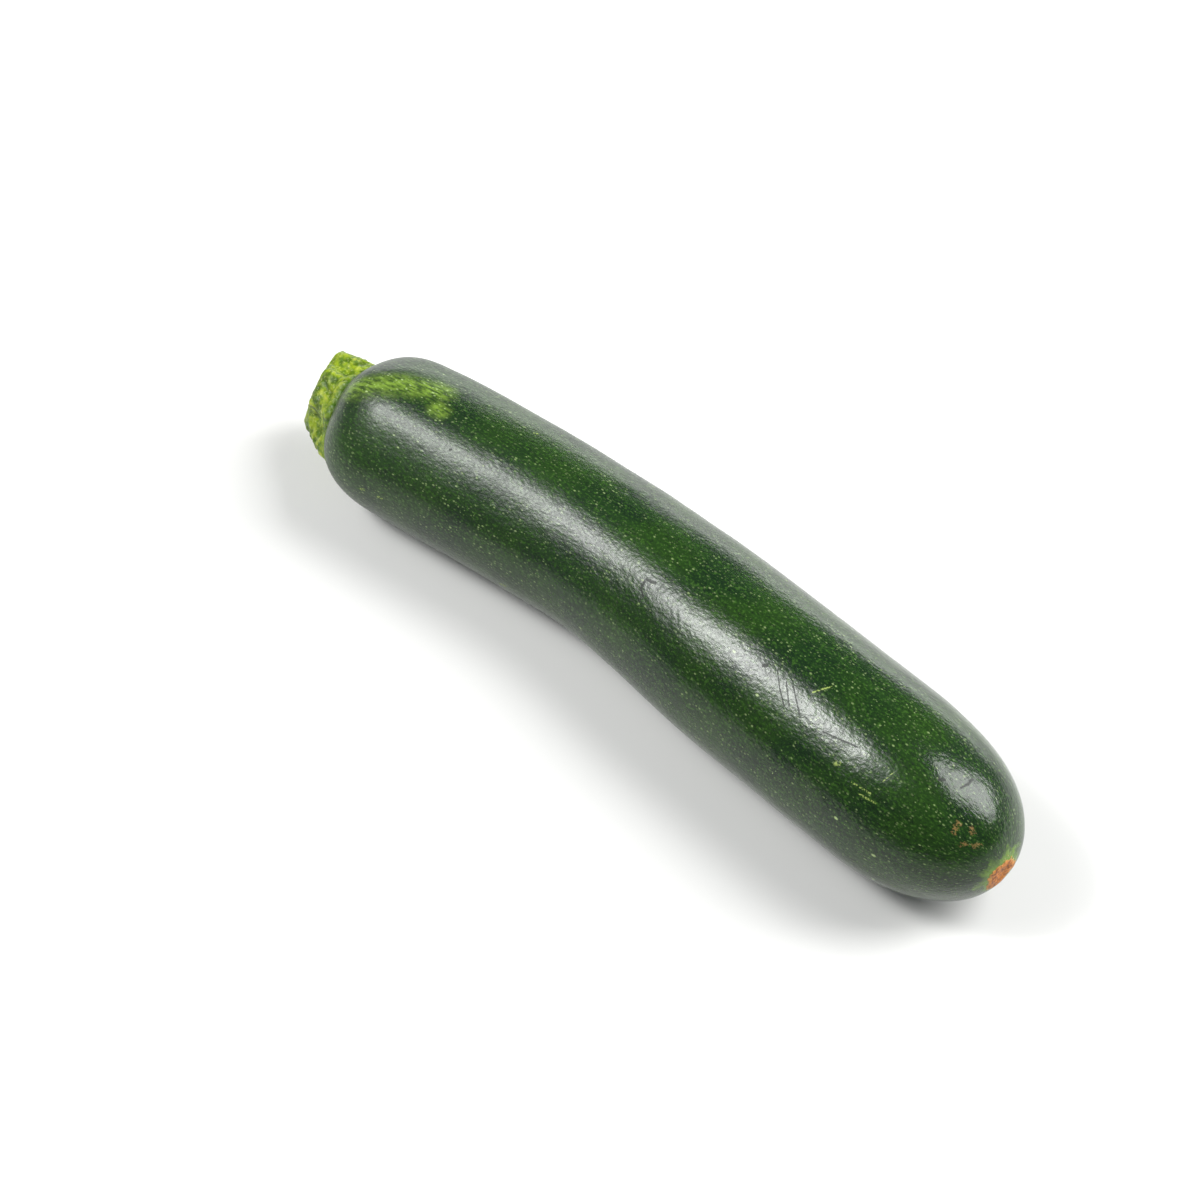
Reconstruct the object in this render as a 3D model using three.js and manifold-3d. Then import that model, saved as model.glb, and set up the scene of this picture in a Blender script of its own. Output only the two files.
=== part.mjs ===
// One zucchini lying on its side: a long, slightly bent fruit with the cut stub of its stalk.
// Millimetres, +Z up, +X from the stem end to the blossom end, bowed towards +Y.
import * as THREE from "three";
import { mergeVertices } from "three/addons/utils/BufferGeometryUtils.js";
import Module from "manifold-3d";

// Driving dimensions of the fruit
const FRUIT_LENGTH = 198;
const BOW = [0, 5.1, 7.7, 5.2, 2.6, 0]; // the middle line's sideways bow, at equal steps along X
const RADII = [18.9, 19.5, 19.3, 21, 21, 21.4]; // half the width at the same steps
const MIDDLE_HEIGHT = { stem: 18.5, blossom: 21.2 }; // of the middle line's two ends
const SHOULDER = { depth: 18, roundness: 2.6 }; // the blunt end at the stem
const BLOSSOM_END = { depth: 37, roundness: 2.2 }; // the longer dome at the other end
const RIBS = 5;
const RIB_TURN = THREE.MathUtils.degToRad(25); // where the first rib stands, from +Y towards +Z
const RIB_HEIGHT_AT_STEM = 0.5;
const RIB_HEIGHT_ALONG = 0.12;
const RIB_FADE = 45; // the length over which the ribs sink from the first height to the second

// Driving dimensions of the corky blossom scar, a low round boss on the fruit
const SCAR_RADIUS = 4;
const SCAR_OFFSET = 1; // from the middle of the blossom end
const SCAR_TURN = THREE.MathUtils.degToRad(200);
// From the sunk root over the rim to the pit: the share of the scar's radius, and the height over
// the blossom end.
const SCAR_LEVELS = [
  { share: 0, height: -3 },
  { share: 0.9, height: -3 },
  { share: 1, height: -0.15 },
  { share: 0.86, height: 0.1 },
  { share: 0.55, height: 0.15 },
  { share: 0.25, height: -0.25 },
  { share: 0, height: -0.35 },
];

// Driving dimensions of the stem, whose ribs run down into lobes on the fruit's shoulder
const STEM_LENGTH = 9.4; // from the stem end to the middle of the cut face
const STEM_GAP = 0.3; // between the stem's underside and the fruit
const STEM_LEAN = 0.14; // sideways per length, towards the first lobe
const CUT_SLOPE = 0.36; // of the slanted cut, lowest at CUT_TURN
const CUT_TURN = THREE.MathUtils.degToRad(120);
// Each lobe's angle, how far it reaches out on the shoulder, and how thin it is higher up: a low
// number is a fleshy knuckle, a high one a slim tip.
const STEM_LOBES = [
  { angle: 25, reach: 4.8, thinness: 0.35 },
  { angle: 88, reach: 2.4, thinness: 0.4 },
  { angle: 143, reach: 2.4, thinness: 0.4 },
  { angle: 211, reach: 6, thinness: 0.7 },
  { angle: 266, reach: 7.6, thinness: 0.8 },
  { angle: 322, reach: 8.4, thinness: 0.9 },
];
const LOBE_SHARPNESS = 13;
// From the middle of the cut face down to the sunk root: the radius in the grooves, the share of
// the lobes' reach that stands out there, and the height. The height is a share of the stem's
// length or, on the foot, millimetres over the shoulder's skin.
const STEM_LEVELS = [
  { radius: 0, flare: 0, height: 0.92 },
  { radius: 4.6, flare: 0.1, height: 0.95 },
  { radius: 5.6, flare: 0.16, height: 1 },
  { radius: 6.1, flare: 0.25, height: 0.93 },
  { radius: 6.2, flare: 0.42, height: 0.72 },
  { radius: 6.3, flare: 0.6, height: 0.48 },
  { radius: 6.7, flare: 0.75, height: 0.26 },
  { radius: 7.4, flare: 0.88, height: 2, onShoulder: true },
  { radius: 7.9, flare: 0.97, height: 1.3, onShoulder: true },
  { radius: 8, flare: 1, height: 0.6, onShoulder: true },
  { radius: 7.4, flare: 0.92, height: -1.5, onShoulder: true },
  { radius: 0, flare: 0, height: -0.3 },
];

// Facets
const FRUIT_SIDES = 45;
const SHOULDER_STEPS = 10;
const BODY_STEPS = 22;
const BLOSSOM_STEPS = 12;
const STEM_SIDES = 72;
const SCAR_SIDES = 20;

const wasm = await Module();
wasm.setup();

// A smooth curve through values given at equal steps along the fruit
function curveThrough(pointAtStep) {
  const points = BOW.map((bow, step) => pointAtStep(step, step / (BOW.length - 1)));
  return new THREE.CatmullRomCurve3(points, false, "catmullrom");
}

const middleLine = curveThrough((step, along) => {
  const height = THREE.MathUtils.lerp(MIDDLE_HEIGHT.stem, MIDDLE_HEIGHT.blossom, along);
  return new THREE.Vector3((along - 0.5) * FRUIT_LENGTH, BOW[step], height);
});
const sideLine = curveThrough((step, along) => new THREE.Vector3(along, RADII[step], 0));

function girthRadius(along) {
  return sideLine.getPoint(along).y;
}

// A frame across the middle line: across points to +Y, up to +Z and ahead to the blossom end.
function frameAt(along) {
  const ahead = middleLine.getTangent(along);
  const across = new THREE.Vector3(0, 0, 1).cross(ahead).normalize();
  const up = ahead.clone().cross(across);
  return { middle: middleLine.getPoint(along), ahead, across, up };
}

// The point at a radius and an angle round the middle line, moved forward along it.
function pointRound(frame, radius, angle, forward = 0) {
  return frame.middle
    .clone()
    .addScaledVector(frame.across, radius * Math.cos(angle))
    .addScaledVector(frame.up, radius * Math.sin(angle))
    .addScaledVector(frame.ahead, forward);
}

// Solids and meshes
function mergedGeometry(geometry) {
  geometry.deleteAttribute("normal");
  geometry.deleteAttribute("uv");
  return mergeVertices(geometry);
}

function solidOf(geometry) {
  const merged = mergedGeometry(geometry);
  const corners = merged.index.array;
  const triVerts = [];
  for (let i = 0; i < corners.length; i += 3) {
    const [a, b, c] = corners.slice(i, i + 3);
    if (a !== b && b !== c && c !== a) triVerts.push(a, b, c);
  }
  return new wasm.Manifold(
    new wasm.Mesh({
      numProp: 3,
      vertProperties: merged.attributes.position.array,
      triVerts: new Uint32Array(triVerts),
    }),
  );
}

function namedMesh(name, solid, material) {
  const { vertProperties, triVerts } = solid.getMesh();
  const geometry = new THREE.BufferGeometry();
  geometry.setAttribute("position", new THREE.BufferAttribute(vertProperties, 3));
  geometry.setIndex(new THREE.BufferAttribute(triVerts, 1));
  geometry.computeVertexNormals();
  const mesh = new THREE.Mesh(geometry, material);
  mesh.name = name;
  return mesh;
}

// A lathe turned round its own axis, each of whose points is then put where place() says.
// place() gets the point's distance along the axis, its radius and its angle.
function turned(profile, sides, place) {
  const geometry = new THREE.LatheGeometry(profile, sides);
  const position = geometry.attributes.position;
  for (let i = 0; i < position.count; i += 1) {
    const [x, y, z] = [position.getX(i), position.getY(i), position.getZ(i)];
    const point = place(y, Math.hypot(x, z), Math.atan2(x, z));
    position.setXYZ(i, point.x, point.y, point.z);
  }
  return geometry;
}

// The fruit: a profile of two domes and the stretch between, ribbed and laid along the middle line
function domeStep(end, turn) {
  return {
    inset: end.depth * (1 - Math.cos(turn) ** (2 / end.roundness)),
    share: Math.sin(turn) ** (2 / end.roundness),
  };
}

function fruitProfile() {
  const profile = [];
  const addPoint = (x, share) => {
    profile.push(new THREE.Vector2(share * girthRadius(x / FRUIT_LENGTH), x));
  };
  for (let i = 0; i < SHOULDER_STEPS; i += 1) {
    const { inset, share } = domeStep(SHOULDER, (i / SHOULDER_STEPS) * (Math.PI / 2));
    addPoint(inset, share);
  }
  const bodyEnd = FRUIT_LENGTH - BLOSSOM_END.depth;
  for (let i = 0; i <= BODY_STEPS; i += 1) {
    addPoint(THREE.MathUtils.lerp(SHOULDER.depth, bodyEnd, i / BODY_STEPS), 1);
  }
  for (let i = BLOSSOM_STEPS - 1; i >= 0; i -= 1) {
    const { inset, share } = domeStep(BLOSSOM_END, (i / BLOSSOM_STEPS) * (Math.PI / 2));
    addPoint(FRUIT_LENGTH - inset, share);
  }
  return profile;
}

function ribHeight(x, angle) {
  const fade = Math.exp(-x / RIB_FADE);
  const height = THREE.MathUtils.lerp(RIB_HEIGHT_ALONG, RIB_HEIGHT_AT_STEM, fade);
  return height * Math.cos(RIBS * (angle - RIB_TURN));
}

function fruitGeometry() {
  return turned(fruitProfile(), FRUIT_SIDES, (x, radius, angle) => {
    const along = x / FRUIT_LENGTH;
    const ribbed = radius * (1 + ribHeight(x, angle) / girthRadius(along));
    return pointRound(frameAt(along), ribbed, angle);
  });
}

// The fruit's skin moved out by a gap, to cut what sits on it
function looseFruit(gap) {
  const geometry = mergedGeometry(fruitGeometry());
  geometry.computeVertexNormals();
  const { position, normal } = geometry.attributes;
  for (let i = 0; i < position.count; i += 1) {
    const moved = new THREE.Vector3().fromBufferAttribute(normal, i).multiplyScalar(gap);
    moved.add(new THREE.Vector3().fromBufferAttribute(position, i));
    position.setXYZ(i, moved.x, moved.y, moved.z);
  }
  return solidOf(geometry);
}

function scarSolid() {
  const profile = SCAR_LEVELS.map(
    (level) => new THREE.Vector2(SCAR_RADIUS * level.share, level.height),
  );
  const end = frameAt(1);
  end.middle = pointRound(end, SCAR_OFFSET, SCAR_TURN);
  return solidOf(
    turned(profile, SCAR_SIDES, (forward, radius, angle) => pointRound(end, radius, angle, forward)),
  );
}

// What lies under the resting plane
function groundSolid() {
  const geometry = new THREE.BoxGeometry(2 * FRUIT_LENGTH, FRUIT_LENGTH, FRUIT_LENGTH);
  geometry.translate(0, 0, -FRUIT_LENGTH / 2);
  return solidOf(geometry);
}

function makeFruit() {
  const solid = solidOf(fruitGeometry()).add(scarSolid()).subtract(groundSolid());
  const skin = new THREE.MeshStandardMaterial({ color: "#1d3a1c", roughness: 0.3, metalness: 0 });
  return namedMesh("fruit", solid, skin);
}

// The stem: a ribbed column with a lobed foot, its underside cut to the fruit's shoulder
function lobeSum(angle, flare) {
  return STEM_LOBES.reduce((sum, lobe) => {
    const apart = angle - THREE.MathUtils.degToRad(lobe.angle);
    const crest = Math.exp(LOBE_SHARPNESS * (Math.cos(apart) - 1));
    return sum + lobe.reach * flare ** lobe.thinness * crest;
  }, 0);
}

function shoulderHeight(radius) {
  const share = Math.min(1, radius / RADII[0]);
  const rise = (1 - share ** SHOULDER.roundness) ** (1 / SHOULDER.roundness);
  return SHOULDER.depth * (rise - 1);
}

function stemGeometry() {
  const profile = STEM_LEVELS.map((level, row) => new THREE.Vector2(level.radius, row));
  const end = frameAt(0);
  const leanTurn = THREE.MathUtils.degToRad(STEM_LOBES[0].angle);
  return turned(profile, STEM_SIDES, (row, turnedRadius, angle) => {
    const level = STEM_LEVELS[Math.round(row)];
    const radius = turnedRadius + lobeSum(angle, level.flare);
    const length = STEM_LENGTH - CUT_SLOPE * radius * Math.cos(angle - CUT_TURN);
    const height = level.onShoulder ? shoulderHeight(radius) + level.height : length * level.height;
    const lean = STEM_LEAN * Math.max(0, height);
    const leaning = { ...end, middle: pointRound(end, lean, leanTurn) };
    return pointRound(leaning, radius, angle, -height);
  });
}

function makeStem() {
  const solid = solidOf(stemGeometry()).subtract(looseFruit(STEM_GAP));
  const flesh = new THREE.MeshStandardMaterial({ color: "#7d9a22", roughness: 0.6, metalness: 0 });
  return namedMesh("stem", solid, flesh);
}

// The whole part, its origin on the resting plane under the middle of its box
const zucchini = new THREE.Group();
zucchini.add(makeFruit(), makeStem());
const middle = new THREE.Box3().setFromObject(zucchini).getCenter(new THREE.Vector3());
for (const piece of zucchini.children) {
  piece.position.set(-middle.x, -middle.y, 0);
}

export default zucchini;
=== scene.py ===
"""One zucchini lying on its side: a fine skin and stem in place of the solids, and a plain studio.

Shapes are worked out in millimetres, moved to where the solids lie, and handed over in metres.
"""

import math

import bpy
import numpy as np
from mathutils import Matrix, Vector, noise


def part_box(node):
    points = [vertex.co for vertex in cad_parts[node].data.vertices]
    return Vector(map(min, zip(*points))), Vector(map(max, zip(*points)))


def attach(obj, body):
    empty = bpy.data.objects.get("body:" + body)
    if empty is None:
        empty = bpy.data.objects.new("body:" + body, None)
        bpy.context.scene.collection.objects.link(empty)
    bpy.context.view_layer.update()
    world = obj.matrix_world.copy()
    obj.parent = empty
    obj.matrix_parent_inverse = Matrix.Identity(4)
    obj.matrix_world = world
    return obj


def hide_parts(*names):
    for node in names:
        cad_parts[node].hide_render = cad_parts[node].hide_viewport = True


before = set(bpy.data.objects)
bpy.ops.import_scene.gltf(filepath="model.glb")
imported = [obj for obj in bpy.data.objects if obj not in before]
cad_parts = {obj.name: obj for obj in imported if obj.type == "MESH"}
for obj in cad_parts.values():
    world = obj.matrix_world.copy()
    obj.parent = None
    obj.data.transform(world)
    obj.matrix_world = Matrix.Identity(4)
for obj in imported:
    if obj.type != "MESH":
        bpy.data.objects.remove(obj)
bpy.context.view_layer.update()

MM = 0.001

# Driving dimensions of the fruit, the same as the solid's
FRUIT_LENGTH = 198
BOW = [0, 5.1, 7.7, 5.2, 2.6, 0]  # the middle line's sideways bow, at equal steps along X
RADII = [18.9, 19.5, 19.3, 21, 21, 21.4]  # half the width at the same steps
MIDDLE_HEIGHT = [18.5, 21.2]  # of the middle line's two ends
SHOULDER_DEPTH = 18
SHOULDER_ROUNDNESS = 2.6
BLOSSOM_DEPTH = 37
BLOSSOM_ROUNDNESS = 2.2
RIBS = 5
RIB_TURN = math.radians(25)
RIB_HEIGHT_AT_STEM = 0.5
RIB_HEIGHT_ALONG = 0.12
RIB_FADE = 45

# Driving dimensions of the blossom scar, which lies where the solid's does
SCAR_RADIUS = 4
SCAR_OFFSET = 1
SCAR_TURN = math.radians(200)
SCAR_SHARES = [0, 0.25, 0.55, 0.86, 1.1]  # of its radius, from the pit to the rim's foot
SCAR_HEIGHTS = [-0.35, -0.25, 0.1, 0.16, 0]  # over the skin, at those shares
SCAR_SURROUND = 2  # how far from its middle its edge can wander, in its radii
CORK_FADE = 0.3  # share of the radius over which the cork's grain dies away

# Driving dimensions of the stem: the solid's, but a little longer and fuller by the cut
STEM_LENGTH = 9.9
STEM_LEAN = 0.14
CUT_SLOPE = 0.36
CUT_TURN = math.radians(132)
LOBE_ANGLES = np.radians([25, 88, 143, 211, 266, 322])
LOBE_REACH = [4.8, 2.4, 2.4, 6, 7.6, 8.4]
LOBE_THINNESS = [0.35, 0.4, 0.4, 0.7, 0.8, 0.9]  # the higher, the thinner a lobe is over its foot
LOBE_BULGE = [0.25, 0.1, 0.1, 0.1, 0, 0]  # swelling between cut and foot, as a share of the reach
LOBE_SHARPNESS = 13
# Radius in the grooves, share of the lobes' reach, and height as a share of the stem's length
COLUMN_LEVELS = [
    (0.6, 0.01, 0.92),
    (2.6, 0.05, 0.93),
    (4.4, 0.1, 0.95),
    (5.4, 0.16, 0.955),
    (6.1, 0.25, 0.88),
    (6.2, 0.42, 0.72),
    (6.3, 0.6, 0.48),
    (6.7, 0.75, 0.26),
]
# The same for the foot, but with the height in millimetres over the shoulder's skin
FOOT_LEVELS = [(7.4, 0.88, 2), (7.9, 0.97, 1.3), (8, 1, 0.6), (7.4, 0.92, -1.5)]
CUT_EDGE_LEVEL = 3  # the number of the level at the cut face's edge
FOOT_LEVEL = len(COLUMN_LEVELS)  # the number of the foot's first level
BUMPS_FROM = CUT_EDGE_LEVEL - 0.2  # the level where the bumps of the sides start
BUMPS_FULL = CUT_EDGE_LEVEL + 0.6  # and where they have their full height

# Fineness of the meshes
FRUIT_SIDES = 216
SHOULDER_RINGS = 80
BODY_RINGS = 250
BLOSSOM_RINGS = 110
STEM_SIDES = 288
STEM_RINGS_PER_LEVEL = 11

# Small relief that only the fine meshes have: its height and its width
SKIN_SWELL = (0.26, 19)
SKIN_RIPPLE = (0.04, 5)
CORK_GRAIN = (0.16, 0.7)
SCAR_WANDER = (0.3, 2.2)  # of the scar's edge, with the height as a share of its radius
SCAR_NICKS = (0.12, 0.8)
WART = (0.45, 2.2)
WART_EDGE = 0.55  # distance from a wart's middle to where the hollow starts, in widths
STEM_LUMP = (0.4, 1.5)
STEM_GRAIN = (0.1, 0.6)

GROWTH_RADIUS = 20  # of the round column on which the skin's pattern is laid
FAR_OFF = 9.0  # stands for any place far from a mark or the scar, in its own radii

# Marks on the skin as (station, angle) pairs from one end to the other, with half their width
DARK_MARKS = [
    ((97.2, 116), (99.5, 114.5), 0.36),
    ((97.2, 118), (97.5, 122.5), 0.34),
    ((97.7, 123), (99.3, 126), 0.28),
    ((132.8, 112.5), (133.4, 111.3), 0.4),
    ((136, 109), (139.7, 118), 0.16),
    ((139.3, 117), (142.6, 123.5), 0.18),
    ((139.5, 111.5), (143.3, 121), 0.18),
    ((141.4, 111), (146.7, 121.5), 0.2),
    ((153.6, 121), (162, 115.5), 0.2),
    ((180.1, 98), (180.7, 96), 0.45),
    ((184.2, 91), (184.5, 85), 0.3),
    ((184.5, 85), (184.2, 79), 0.36),
    ((36.8, 114.3), (37, 113.7), 0.3),
]
PALE_MARKS = [
    ((145.8, 106.5), (148.1, 96.5), 0.22),
    ((165.6, 134), (170.5, 132.5), 0.2),
    ((168.3, 137), (172.6, 135.5), 0.2),
    ((160, 131), (160.8, 129.8), 0.5),
    ((171.3, 122), (171.9, 113.5), 0.16),
    ((18.2, 173), (18.9, 171.8), 0.45),
    ((23, 171.4), (24.2, 170.7), 0.3),
    ((49.7, 68.4), (50.1, 67.6), 0.4),
    ((58.6, 195.5), (60, 193.5), 0.5),
]
BROWN_MARKS = [
    ((188.4, 111), (189, 120.5), 0.6),
    ((190.7, 107), (191.3, 109), 0.6),
    ((193.6, 114.5), (193.2, 119), 0.6),
    ((191.4, 126), (192, 122), 0.5),
]
# The paler patch by the stem, as broad marks of the same form
PALE_PATCH = [((6, 106), (16, 89), 2.9), ((16, 89), (25, 77), 2.9), ((28, 93), (29, 93), 1.8)]

# Viewpoint of the photograph
CAMERA_AZIMUTH = 41.5
CAMERA_ELEVATION = 53.53
CAMERA_DISTANCE = 0.85
CAMERA_FOCUS_MM = 112.84
SENSOR_MM = 36
CAMERA_TARGET = (0.0062, -0.004, 0.021)
CAMERA_SHIFT = (-0.0506, 0.0211)  # the target's place in the photograph, off its middle

# The studio, in metres
FLOOR_SIZE = 6
LIGHT_TARGET = (0, 0, 0.02)


def direction(azimuth, elevation):
    """The direction towards a viewpoint, with azimuth 0 looking along +Y."""
    a, e = math.radians(azimuth), math.radians(elevation)
    return Vector((math.sin(a) * math.cos(e), -math.cos(a) * math.cos(e), math.sin(e)))


# The fruit's form
def curve_through(values, along):
    """A smooth curve through values at equal steps, read at the shares along it."""
    values = np.asarray(values, float)
    knots = np.concatenate([[2 * values[0] - values[1]], values, [2 * values[-1] - values[-2]]])
    place = np.clip(along, 0, 1) * (len(values) - 1)
    step = np.minimum(place.astype(int), len(values) - 2)
    rest = (place - step).reshape(-1, *[1] * (values.ndim - 1))
    a, b, c, d = (knots[step + i] for i in range(4))
    bend = a - 2.5 * b + 2 * c - 0.5 * d
    twist = 1.5 * (b - c) + 0.5 * (d - a)
    return b + 0.5 * (c - a) * rest + bend * rest**2 + twist * rest**3


def middle_line(along):
    """Points of the middle line at shares of the fruit's length."""
    x = (along - 0.5) * FRUIT_LENGTH
    height = np.interp(along, [0, 1], MIDDLE_HEIGHT)
    return np.stack([x, curve_through(BOW, along), height], axis=-1)


def frames_at(along):
    """Middle points, and the directions ahead, across to +Y and up there."""
    small = 1e-4
    ahead = middle_line(np.clip(along + small, 0, 1)) - middle_line(np.clip(along - small, 0, 1))
    ahead /= np.linalg.norm(ahead, axis=1, keepdims=True)
    across = np.cross([0, 0, 1], ahead)
    across /= np.linalg.norm(across, axis=1, keepdims=True)
    return middle_line(along), ahead, across, np.cross(ahead, across)


def dome_insets(depth, roundness, rings):
    """Distances of the rings from a dome's tip, spread evenly over its curve."""
    turns = np.arange(1, rings + 1) / rings * math.pi / 2
    return depth * (1 - np.cos(turns) ** (2 / roundness))


def dome_share(inset, depth, roundness):
    """The share of the full radius at a distance from a dome's tip."""
    left = np.clip(1 - inset / depth, 0, 1)
    return (1 - left**roundness) ** (1 / roundness)


def stations():
    """Distances along the fruit from the stem end, closest together on the two ends."""
    shoulder = dome_insets(SHOULDER_DEPTH, SHOULDER_ROUNDNESS, SHOULDER_RINGS)
    blossom = FRUIT_LENGTH - dome_insets(BLOSSOM_DEPTH, BLOSSOM_ROUNDNESS, BLOSSOM_RINGS)
    body = np.linspace(shoulder[-1], blossom[-1], BODY_RINGS + 1)
    return np.concatenate([shoulder, body[1:-1], blossom[::-1]])


def radius_at(station):
    """Half the width at a station, without the ribs."""
    share = dome_share(station, SHOULDER_DEPTH, SHOULDER_ROUNDNESS)
    share = share * dome_share(FRUIT_LENGTH - station, BLOSSOM_DEPTH, BLOSSOM_ROUNDNESS)
    return share * curve_through(RADII, station / FRUIT_LENGTH)


def skin_length(station):
    """The way over the skin from the stem end to a station."""
    fine = np.concatenate([[0], stations(), [FRUIT_LENGTH]])
    steps = np.hypot(np.diff(fine), np.diff(radius_at(fine)))
    return np.interp(station, fine, np.concatenate([[0], np.cumsum(steps)]))


def growth_point(station, angle):
    """A place on the column on which the skin's pattern is laid: length, and a point on a circle."""
    circle = GROWTH_RADIUS * np.stack([np.cos(angle), np.sin(angle)], axis=-1)
    return np.concatenate([skin_length(station)[..., None], circle], axis=-1)


def rib_height(station, angle):
    """How far the ribs stand out of the round form, below 0 in the grooves between them."""
    fade = np.exp(-station / RIB_FADE)
    height = RIB_HEIGHT_ALONG + (RIB_HEIGHT_AT_STEM - RIB_HEIGHT_ALONG) * fade
    return height * np.cos(RIBS * (angle - RIB_TURN))


def swells(points, relief):
    """Random heights at the points, as high and as wide as relief says."""
    height, width = relief
    return height * np.array([noise.noise(Vector(point)) for point in points / width])


def ringed_mesh(name, rings, first, last):
    """A closed mesh of rings of points between a first and a last point."""
    count, sides, _ = rings.shape
    points = np.concatenate([rings.reshape(-1, 3), [first, last]])
    ring, side = np.meshgrid(np.arange(count - 1), np.arange(sides), indexing="ij")
    after = (side + 1) % sides
    quads = np.stack([ring * sides + side, ring * sides + after], axis=-1)
    quads = np.concatenate([quads, quads[..., ::-1] + sides], axis=-1).reshape(-1, 4)
    at = np.arange(sides)
    beyond = (at + 1) % sides
    end = (count - 1) * sides
    caps = [(count * sides, b, a) for a, b in zip(at, beyond)]
    caps += [(count * sides + 1, end + a, end + b) for a, b in zip(at, beyond)]
    mesh = bpy.data.meshes.new(name)
    mesh.from_pydata((points * MM).tolist(), [], quads.tolist() + [tuple(map(int, cap)) for cap in caps])
    mesh.shade_smooth()
    piece = bpy.data.objects.new(name, mesh)
    bpy.context.scene.collection.objects.link(piece)
    return piece


def keep_on_points(piece, name, values):
    """Stores a number or a vector for each of the piece's points, for its material."""
    kind, field = ("FLOAT_VECTOR", "vector") if values.ndim == 2 else ("FLOAT", "value")
    attribute = piece.data.attributes.new(name, kind, "POINT")
    attribute.data.foreach_set(field, values.astype(np.float32).ravel())


def with_ends(values, first, last):
    """Values of all rings' points, followed by those of the first and the last point."""
    flat = values.reshape(-1, *values.shape[2:])
    return np.concatenate([flat, [first, last]])


def scar_relief(points):
    """Moves the blossom end's points out to the corky scar. Also gives all points' distance from it."""
    middle, ahead, across, up = (part[0] for part in frames_at(np.array([1.0])))
    centre = middle + SCAR_OFFSET * (math.cos(SCAR_TURN) * across + math.sin(SCAR_TURN) * up)
    aside = points - centre
    distance = np.hypot(aside @ across, aside @ up) / SCAR_RADIUS
    near = np.flatnonzero((distance < SCAR_SURROUND) & (aside @ ahead > -SCAR_RADIUS))
    ragged = distance[near] * (1 + swells(points[near], SCAR_WANDER) + swells(points[near], SCAR_NICKS))
    share = np.full(len(points), FAR_OFF)
    share[near] = ragged
    cork = np.clip((SCAR_SHARES[-1] - ragged) / CORK_FADE, 0, 1)
    rise = np.interp(ragged, SCAR_SHARES, SCAR_HEIGHTS) + cork * swells(points[near], CORK_GRAIN)
    moved = points.copy()
    moved[near] += rise[:, None] * ahead
    return moved, share


def fruit_shift(points):
    """The way from the fruit's own axes to the frame's, where its far end and sides meet the solid's."""
    low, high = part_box("fruit")
    x = high.x / MM - points[:, 0].max()
    y = (low.y + high.y) / 2 / MM - (points[:, 1].min() + points[:, 1].max()) / 2
    return np.array([x, y, 0])


def fruit_rings(station, angle, growth):
    """The skin's points at grids of stations and angles, with its ribs and swells."""
    flat = growth.reshape(-1, 3)
    relief = rib_height(station, angle)
    relief += (swells(flat, SKIN_SWELL) + swells(flat, SKIN_RIPPLE)).reshape(relief.shape)
    along = station[:, 0] / FRUIT_LENGTH
    radius = radius_at(station[:, 0])[:, None]
    full = curve_through(RADII, along)[:, None]
    radius = radius * (1 + relief / full)
    middle, _, across, up = (part[:, None, :] for part in frames_at(along))
    round_axis = np.cos(angle)[..., None] * across + np.sin(angle)[..., None] * up
    return middle + radius[..., None] * round_axis


def make_fruit():
    angle = np.arange(FRUIT_SIDES) / FRUIT_SIDES * 2 * math.pi
    grids = np.meshgrid(stations(), angle, indexing="ij")
    growth = growth_point(*grids)
    rings = fruit_rings(*grids, growth)
    ends = middle_line(np.array([0.0, 1.0]))
    points = with_ends(rings, *ends)
    moved, scar = scar_relief(points)
    shift = fruit_shift(points)
    moved += shift
    moved[:, 2] = np.maximum(moved[:, 2], 0)
    piece = ringed_mesh("fruit_skin", moved[:-2].reshape(rings.shape), *moved[-2:])
    total = skin_length(np.array([FRUIT_LENGTH]))[0]
    keep_on_points(piece, "growth", with_ends(growth, (0, 0, 0), (total, 0, 0)))
    keep_on_points(piece, "scar", scar)
    return piece, shift


# The stem's form
def shoulder_height(radius):
    """Height of the shoulder's skin at a distance from the axis, 0 on the axis and below 0 off it."""
    share = np.minimum(1, radius / RADII[0])
    return SHOULDER_DEPTH * ((1 - share**SHOULDER_ROUNDNESS) ** (1 / SHOULDER_ROUNDNESS) - 1)


def lobes(angle, flare):
    """How far all lobes together reach out at the angles, where they have this share of their reach."""
    total = np.zeros_like(angle)
    for at, reach, thinness, bulge in zip(LOBE_ANGLES, LOBE_REACH, LOBE_THINNESS, LOBE_BULGE):
        reach *= flare**thinness + bulge * math.sin(math.pi * flare)
        total += reach * np.exp(LOBE_SHARPNESS * (np.cos(angle - at) - 1))
    return total


def stem_ring(level, on_shoulder, angle):
    """The points of one level of the stem."""
    groove, flare, height = level
    middle, ahead, across, up = (part[0] for part in frames_at(np.array([0.0])))
    radius = groove + lobes(angle, flare)
    length = STEM_LENGTH - CUT_SLOPE * radius * np.cos(angle - CUT_TURN)
    height = shoulder_height(radius) + height if on_shoulder else length * height
    lean = STEM_LEAN * np.maximum(0, height)
    aside = radius * np.cos(angle) + lean * math.cos(LOBE_ANGLES[0])
    above = radius * np.sin(angle) + lean * math.sin(LOBE_ANGLES[0])
    return middle + aside[:, None] * across + above[:, None] * up - height[:, None] * ahead


def outward(rings):
    """Directions out of a surface of rings."""
    along = np.gradient(rings, axis=0)
    round_ring = np.roll(rings, -1, axis=1) - np.roll(rings, 1, axis=1)
    normal = np.cross(round_ring, along)
    return normal / np.maximum(np.linalg.norm(normal, axis=-1, keepdims=True), 1e-9)


def warts(points):
    """Heights of rounded bumps, side by side."""
    height, width = WART
    nearest = [noise.voronoi(Vector(point))[0][0] for point in points / width]
    return height * (WART_EDGE - np.array(nearest))


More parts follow.
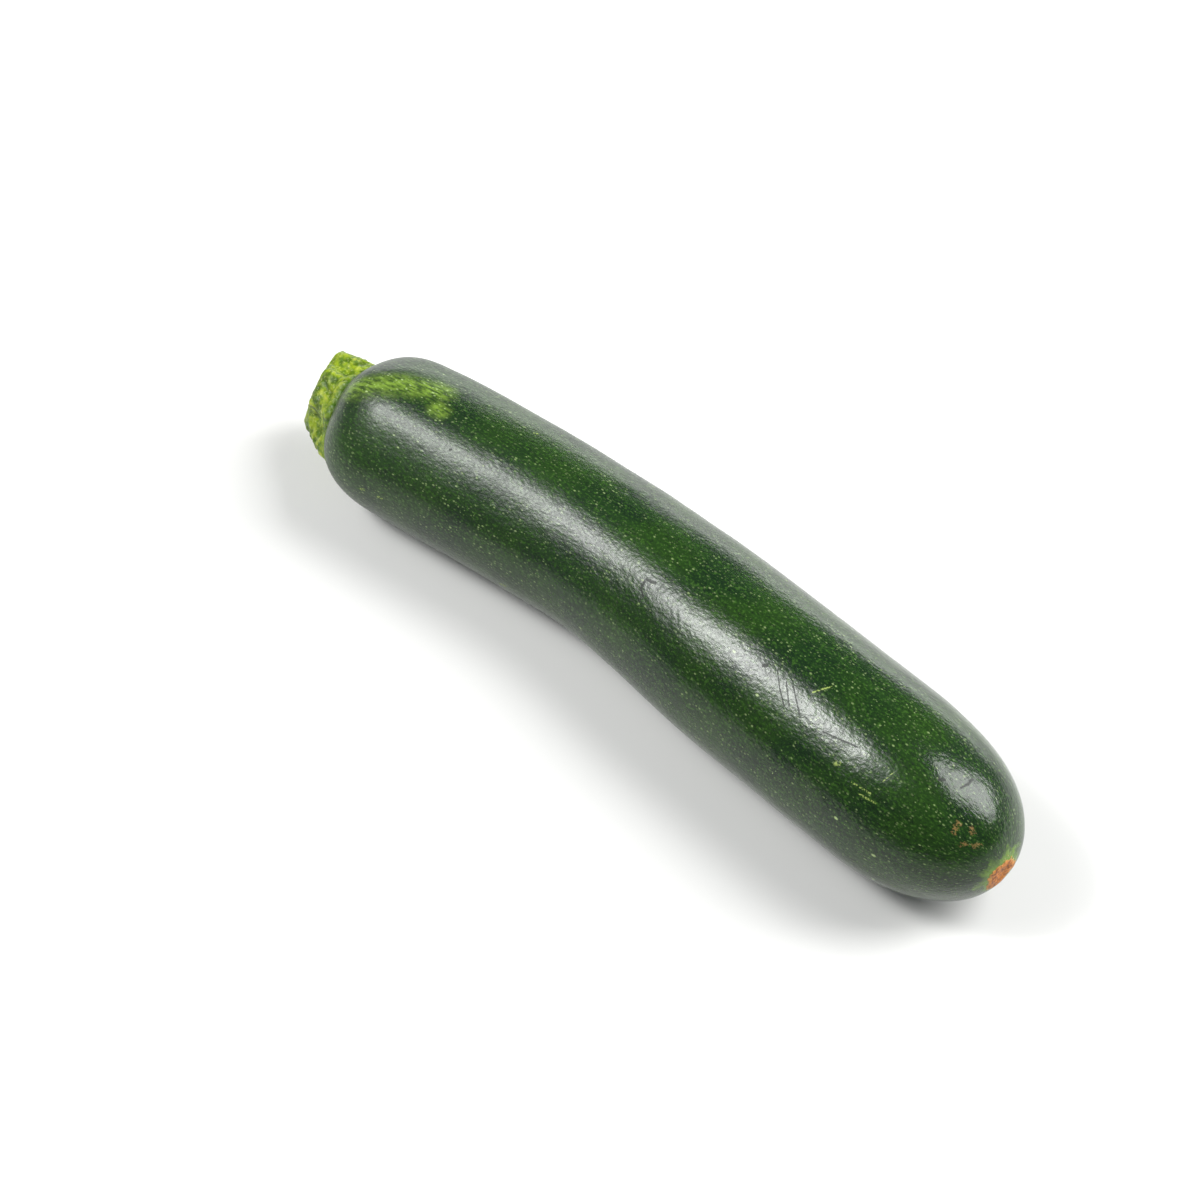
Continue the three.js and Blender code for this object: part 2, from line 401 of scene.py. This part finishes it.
def make_stem(shift):
    angle = np.arange(STEM_SIDES) / STEM_SIDES * 2 * math.pi
    levels = [stem_ring(level, False, angle) for level in COLUMN_LEVELS]
    levels += [stem_ring(level, True, angle) for level in FOOT_LEVELS]
    count = (len(levels) - 1) * STEM_RINGS_PER_LEVEL + 1
    along = np.linspace(0, 1, count)
    rings = curve_through(levels, along)
    level = np.repeat(along * (len(levels) - 1), STEM_SIDES)
    flat = rings.reshape(-1, 3)
    on_side = np.clip((level - BUMPS_FROM) / (BUMPS_FULL - BUMPS_FROM), 0, 1)
    bumps = (warts(flat) + swells(flat, STEM_LUMP)) * on_side
    grain = swells(flat, STEM_GRAIN)
    rings = rings + outward(rings) * (bumps + grain).reshape(count, STEM_SIDES, 1)
    rings += shift
    piece = ringed_mesh("stem_flesh", rings, rings[0].mean(axis=0), rings[-1].mean(axis=0))
    keep_on_points(piece, "level", np.append(level, [0, len(levels) - 1]))
    keep_on_points(piece, "wart", np.append(bumps / WART[0] + grain, [0, 0]))
    return piece


# Materials
def colour(code):
    """A material's colour from the usual six hex digits."""
    shares = [int(code[i : i + 2], 16) / 255 for i in (1, 3, 5)]
    linear = [s / 12.92 if s <= 0.04045 else ((s + 0.055) / 1.055) ** 2.4 for s in shares]
    return (*linear, 1)


class Surface:
    """A material and short ways to add nodes to it."""

    def __init__(self, name):
        self.material = bpy.data.materials.new(name)
        self.material.use_nodes = True
        self.tree = self.material.node_tree
        self.shader = self.tree.nodes["Principled BSDF"]

    def add(self, kind, inputs, output=0, **settings):
        node = self.tree.nodes.new("ShaderNode" + kind)
        for name, value in settings.items():
            setattr(node, name, value)
        self.fill(node, inputs)
        return node.outputs[output]

    def fill(self, node, inputs):
        for name, value in inputs.items():
            if isinstance(value, bpy.types.NodeSocket):
                self.tree.links.new(value, node.inputs[name])
            else:
                node.inputs[name].default_value = value

    def finish(self, **inputs):
        self.fill(self.shader, {name.replace("_", " "): value for name, value in inputs.items()})
        return self.material

    def stored(self, name, output="Fac"):
        return self.add("Attribute", {}, output, attribute_name=name)

    def math(self, operation, a, b=0.0, clamp=False):
        return self.add("Math", {0: a, 1: b}, operation=operation, use_clamp=clamp)

    def plus(self, a, b):
        return self.math("ADD", a, b)

    def times(self, a, b):
        return self.math("MULTIPLY", a, b)

    def larger(self, a, b):
        return self.math("MAXIMUM", a, b)

    def clamped(self, value):
        return self.math("ADD", value, clamp=True)

    def vector(self, operation, a, b, output=0):
        return self.add("VectorMath", {0: a, 1: b}, output, operation=operation)

    def ramp(self, value, start, end, low=0.0, high=1.0):
        inputs = {0: value, 1: start, 2: end, 3: low, 4: high}
        return self.add("MapRange", inputs, interpolation_type="SMOOTHSTEP")

    def mix(self, share, a, b):
        return self.add("Mix", {0: share, 6: a, 7: b}, 2, data_type="RGBA")

    def noise(self, place, size, detail=2.0):
        return self.add("TexNoise", {"Vector": place, "Scale": 1 / size, "Detail": detail})

    def centred_noise(self, place, size, detail=2.0):
        """The same noise, to both sides of 0."""
        return self.math("SUBTRACT", self.noise(place, size, detail), 0.5)

    def bump(self, height, distance):
        """Bent normals for a height. Distance is in millimetres."""
        return self.add("Bump", {"Height": height, "Distance": distance * MM, "Strength": 1.0})


# Colours of the skin
DEEP_GREEN = colour("#0e240e")
CLOUD_GREEN = colour("#19320c")
BAND_GREEN = colour("#223f15")
LIGHT_GRAIN = colour("#37591f")
DARK_GRAIN = colour("#071507")
PATCH_GREEN = colour("#7d9c38")
FLECK = colour("#9db277")
NICK = colour("#0b120a")
SCRATCH = colour("#9fb35a")
SCAB = colour("#8a6a3c")
HALO_GREEN = colour("#64861f")
CORK_DARK = colour("#62300a")
CORK_LIGHT = colour("#c2772a")
CORK_PIT = colour("#42200a")
CORK_EDGE = colour("#c98f48")


class Skin(Surface):
    """The skin's material. Its patterns are laid on the column of growth, in millimetres."""

    def __init__(self):
        super().__init__("zucchini skin")
        self.place = self.add("TexCoord", {}, "Object")
        self.growth = self.stored("growth", "Vector")
        self.drawn_out = self.lengthened(0.6)
        self.stripes = self.lengthened(0.06)
        self.cloud = self.noise(self.growth, size=16)
        self.grain = self.noise(self.drawn_out, size=0.5, detail=3)
        self.waver = self.times(self.centred_noise(self.growth, size=0.5), 1.6)

    def lengthened(self, share):
        """Places for a pattern that is drawn out along the fruit, the more the smaller the share."""
        return self.vector("MULTIPLY", self.growth, (share, 1, 1))

    def on_marks(self, marks, waver, outer=1.3, inner=0.5):
        """1 on the marks and 0 off them. The edge runs from outer to inner, in half widths."""
        nearest = FAR_OFF
        for start, end, half_width in marks:
            a, b = (growth_point(station, np.radians(angle)) for station, angle in (start, end))
            way = b - a
            from_start = self.vector("SUBTRACT", self.growth, tuple(a))
            share = self.vector("DOT_PRODUCT", from_start, tuple(way / (way @ way)), "Value")
            inputs = {0: tuple(way), "Scale": self.clamped(share)}
            foot = self.add("VectorMath", inputs, operation="SCALE")
            distance = self.vector("DISTANCE", from_start, foot, "Value")
            nearest = self.math("MINIMUM", nearest, self.math("DIVIDE", distance, half_width))
        return self.ramp(self.plus(nearest, waver), outer, inner)

    def dots(self, size, largest):
        """Dots of uneven size and strength, one to a cell. The largest radius is in cells."""
        distance = self.add("TexVoronoi", {"Vector": self.drawn_out, "Scale": 1 / size}, "Distance")
        chance = self.add("SeparateColor", {0: distance.node.outputs["Color"]})
        reach = self.times(self.math("POWER", chance, 1.6), largest)
        inside = self.math("DIVIDE", distance, self.plus(reach, 0.02))
        strength = self.ramp(chance.node.outputs[1], 0.0, 1.0, 0.2, 1.0)
        return self.times(self.ramp(inside, 1.1, 0.4), strength)

    def greens(self):
        """Broad clouds, lengthwise bands and a fine grain."""
        bands = self.noise(self.stripes, size=3.2)
        green = self.mix(self.ramp(self.cloud, 0.35, 0.65), DEEP_GREEN, CLOUD_GREEN)
        green = self.mix(self.ramp(bands, 0.4, 0.7, 0.0, 0.4), green, BAND_GREEN)
        green = self.mix(self.ramp(self.grain, 0.5, 0.72, 0.0, 0.7), green, LIGHT_GRAIN)
        return self.mix(self.ramp(self.grain, 0.45, 0.28, 0.0, 0.7), green, DARK_GRAIN)

    def pale_patch(self):
        streaks = self.noise(self.lengthened(0.35), size=0.8, detail=3)
        patch = self.on_marks(PALE_PATCH, self.times(self.waver, 0.3), outer=2.0, inner=0.0)
        return self.times(patch, self.ramp(streaks, 0.32, 0.66, 0.15, 1.0))

    def flecks(self, pale):
        """Dust that crowds in stripes and on the pale patch, and a few larger flecks."""
        crowds = self.ramp(self.noise(self.stripes, size=1.4), 0.35, 0.65, 0.18, 0.5)
        dust = self.times(self.dots(size=0.55, largest=0.5), self.plus(crowds, pale))
        small = self.times(self.dots(size=1.9, largest=0.13), 0.5)
        large = self.dots(size=6, largest=0.06)
        return self.clamped(self.larger(self.larger(dust, small), large))

    def damage(self):
        """Where the dark nicks, the pale scratches and the brown scabs are."""
        crumbling = self.times(self.centred_noise(self.growth, size=1.3, detail=3), 7.0)
        broken = self.ramp(self.noise(self.growth, size=0.45), 0.4, 0.6)
        nicks = self.on_marks(DARK_MARKS, self.waver)
        scratches = self.times(self.on_marks(PALE_MARKS, self.waver), broken)
        scabs = self.times(self.on_marks(BROWN_MARKS, crumbling, outer=1.6, inner=0.2), broken)
        return nicks, scratches, scabs

    def scar_distance(self):
        """The way from the scar's middle in its radii, with a crumbly edge."""
        crumbs = self.centred_noise(self.place, size=0.9 * MM)
        return self.plus(self.stored("scar"), self.times(crumbs, 0.6))

    def halo(self, scar):
        """The yellowed skin round the scar."""
        return self.times(self.ramp(scar, 1.8, 1.0), self.ramp(self.cloud, 0.3, 0.55, 0.35, 0.9))

    def cork(self, scar, grain):
        pits = self.noise(self.place, size=0.5 * MM)
        cork = self.mix(self.ramp(grain, 0.35, 0.62), CORK_DARK, CORK_LIGHT)
        cork = self.mix(self.ramp(pits, 0.6, 0.7, 0.0, 0.75), cork, CORK_PIT)
        return self.mix(self.ramp(scar, 0.7, 1.0, 0.0, 0.5), cork, CORK_EDGE)

    def roughness(self, scuffed):
        """Duller by the stem than by the blossom end, and dull where it is scuffed."""
        length = self.add("SeparateXYZ", {0: self.growth})
        rough = self.ramp(length, 20, 180, 0.36, 0.22)
        rough = self.plus(rough, self.ramp(self.grain, 0.3, 0.7, 0.04, -0.04))
        return self.plus(rough, self.times(scuffed, 0.3))

    def relief(self, corky, cork_grain):
        """Heights of fine pores, wider dimples and the cork's grain."""
        pores = self.times(self.noise(self.drawn_out, size=0.7), 0.7)
        dimples = self.noise(self.growth, size=2.4)
        cork = self.times(corky, self.times(cork_grain, 2.0))
        return self.plus(self.plus(pores, dimples), cork)


def skin_material():
    skin = Skin()
    pale = skin.pale_patch()
    nicks, scratches, scabs = skin.damage()
    green = skin.mix(skin.times(pale, 0.75), skin.greens(), PATCH_GREEN)
    green = skin.mix(skin.flecks(pale), green, FLECK)
    green = skin.mix(skin.times(nicks, 0.85), green, NICK)
    green = skin.mix(skin.times(scratches, 0.7), green, SCRATCH)
    green = skin.mix(skin.times(scabs, 0.65), green, SCAB)

    scar = skin.scar_distance()
    corky = skin.ramp(scar, 1.1, 0.98)
    cork_grain = skin.noise(skin.place, size=0.8 * MM, detail=4)
    green = skin.mix(skin.halo(scar), green, HALO_GREEN)

    scuffed = skin.larger(skin.larger(nicks, scratches), skin.larger(scabs, corky))
    return skin.finish(
        Base_Color=skin.mix(corky, green, skin.cork(scar, cork_grain)),
        Roughness=skin.roughness(scuffed),
        Normal=skin.bump(skin.relief(corky, cork_grain), distance=0.12),
        Specular_IOR_Level=0.34,
        Coat_Weight=0.1,
        Coat_Roughness=0.2,
    )


# Colours of the stem
FLESH_DARK = colour("#4a6708")
FLESH_LIGHT = colour("#7d9116")
# Painted shade: a darker green put into the hollows between the stem's bumps
PAINTED_HOLLOW_SHADE = colour("#354d06")
# Painted highlight: a paler green put on the tips of the stem's bumps
PAINTED_WART_HIGHLIGHT = colour("#a9b445")
FLESH_GRAIN = colour("#c6cc78")
FOOT_GREEN = colour("#3c6316")
DRY_DARK = colour("#a58a4a")
DRY_LIGHT = colour("#d8c88a")
DRY_MIDDLE = colour("#7a5a2c")


def stem_material():
    surface = Surface("zucchini stem")
    place = surface.add("TexCoord", {}, "Object")
    level = surface.stored("level")
    wart = surface.stored("wart")
    blotch = surface.noise(place, size=1.8 * MM, detail=3)
    grain = surface.noise(place, size=0.5 * MM, detail=3)

    flesh = surface.mix(surface.ramp(blotch, 0.38, 0.62), FLESH_DARK, FLESH_LIGHT)
    # Painted shade: darker where the bumps' height is low, in the hollows between them
    flesh = surface.mix(surface.ramp(wart, 0.05, -0.5, 0.0, 0.8), flesh, PAINTED_HOLLOW_SHADE)
    # Painted highlight: paler where the bumps stand highest
    flesh = surface.mix(surface.ramp(wart, 0.2, 0.8, 0.0, 0.65), flesh, PAINTED_WART_HIGHLIGHT)
    flesh = surface.mix(surface.ramp(grain, 0.56, 0.74, 0.0, 0.5), flesh, FLESH_GRAIN)
    flesh = surface.mix(surface.ramp(level, FOOT_LEVEL, FOOT_LEVEL + 2.5, 0.0, 0.7), flesh, FOOT_GREEN)

    # The dried cut face, darker in its middle
    dry = surface.mix(surface.ramp(grain, 0.35, 0.65), DRY_DARK, DRY_LIGHT)
    dry = surface.mix(surface.ramp(level, 1.4, 0.2, 0.0, 0.7), dry, DRY_MIDDLE)
    cut = surface.ramp(level, CUT_EDGE_LEVEL + 0.1, CUT_EDGE_LEVEL - 0.3)
    flesh = surface.mix(cut, flesh, dry)
    return surface.finish(
        Base_Color=flesh,
        Roughness=surface.ramp(grain, 0.3, 0.7, 0.32, 0.52),
        Normal=surface.bump(grain, distance=0.12),
        Specular_IOR_Level=0.35,
        Subsurface_Weight=0.08,
        Subsurface_Scale=0.002,
    )


def floor_material():
    surface = Surface("pale floor")
    place = surface.add("TexCoord", {}, "Object")
    cloud = surface.noise(place, size=0.3)
    tone = surface.mix(cloud, colour("#d4d4d2"), colour("#dadad8"))
    return surface.finish(Base_Color=tone, Roughness=0.7)


# The studio
def make_floor():
    corner = FLOOR_SIZE / 2
    mesh = bpy.data.meshes.new("floor")
    corners = [(-corner, -corner, 0), (corner, -corner, 0), (corner, corner, 0), (-corner, corner, 0)]
    mesh.from_pydata(corners, [], [(0, 1, 2, 3)])
    floor = bpy.data.objects.new("floor", mesh)
    bpy.context.scene.collection.objects.link(floor)
    floor.data.materials.append(floor_material())


def aim(thing, place, target):
    """Puts a camera or a light in its place, turned to the target."""
    thing.location = place
    thing.rotation_euler = (Vector(target) - Vector(place)).to_track_quat("-Z", "Y").to_euler()


def make_softbox(name, azimuth, elevation, distance, size, watts):
    """A softbox in that direction from the target. Distance and size are in metres."""
    light = bpy.data.lights.new(name, "AREA")
    light.shape = "RECTANGLE"
    light.size, light.size_y = size
    light.energy = watts
    box = bpy.data.objects.new(name, light)
    bpy.context.scene.collection.objects.link(box)
    aim(box, direction(azimuth, elevation) * distance, LIGHT_TARGET)


def make_world(tone, strength):
    world = bpy.data.worlds.new("studio")
    world.use_nodes = True
    background = world.node_tree.nodes["Background"]
    background.inputs["Color"].default_value = colour(tone)
    background.inputs["Strength"].default_value = strength
    bpy.context.scene.world = world


def make_camera():
    data = bpy.data.cameras.new("camera")
    data.sensor_width = SENSOR_MM
    data.lens = CAMERA_FOCUS_MM
    data.shift_x, data.shift_y = CAMERA_SHIFT
    camera = bpy.data.objects.new("camera", data)
    bpy.context.scene.collection.objects.link(camera)
    target = Vector(CAMERA_TARGET)
    aim(camera, target + direction(CAMERA_AZIMUTH, CAMERA_ELEVATION) * CAMERA_DISTANCE, target)
    bpy.context.scene.camera = camera


def dress(piece, node, material):
    """Puts a piece in the place of a solid."""
    piece.data.materials.append(material)
    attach(piece, "root")
    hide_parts(node)


# The two pieces, and then the studio
fruit, shift = make_fruit()
stem = make_stem(shift)
dress(fruit, "fruit", skin_material())
dress(stem, "stem", stem_material())

make_floor()
make_softbox("main softbox", azimuth=-48, elevation=53, distance=1.1, size=(0.3, 0.34), watts=8)
make_softbox("wide softbox", azimuth=-48, elevation=53, distance=1.3, size=(0.75, 0.8), watts=6)
make_softbox("end softbox", azimuth=138, elevation=45, distance=1.1, size=(0.62, 1.0), watts=21)
make_softbox("back strip", azimuth=-155, elevation=3, distance=0.36, size=(0.6, 0.07), watts=0.45)
make_world(tone="#dfe6ee", strength=0.17)
make_camera()
bpy.context.scene.view_settings.view_transform = "Standard"
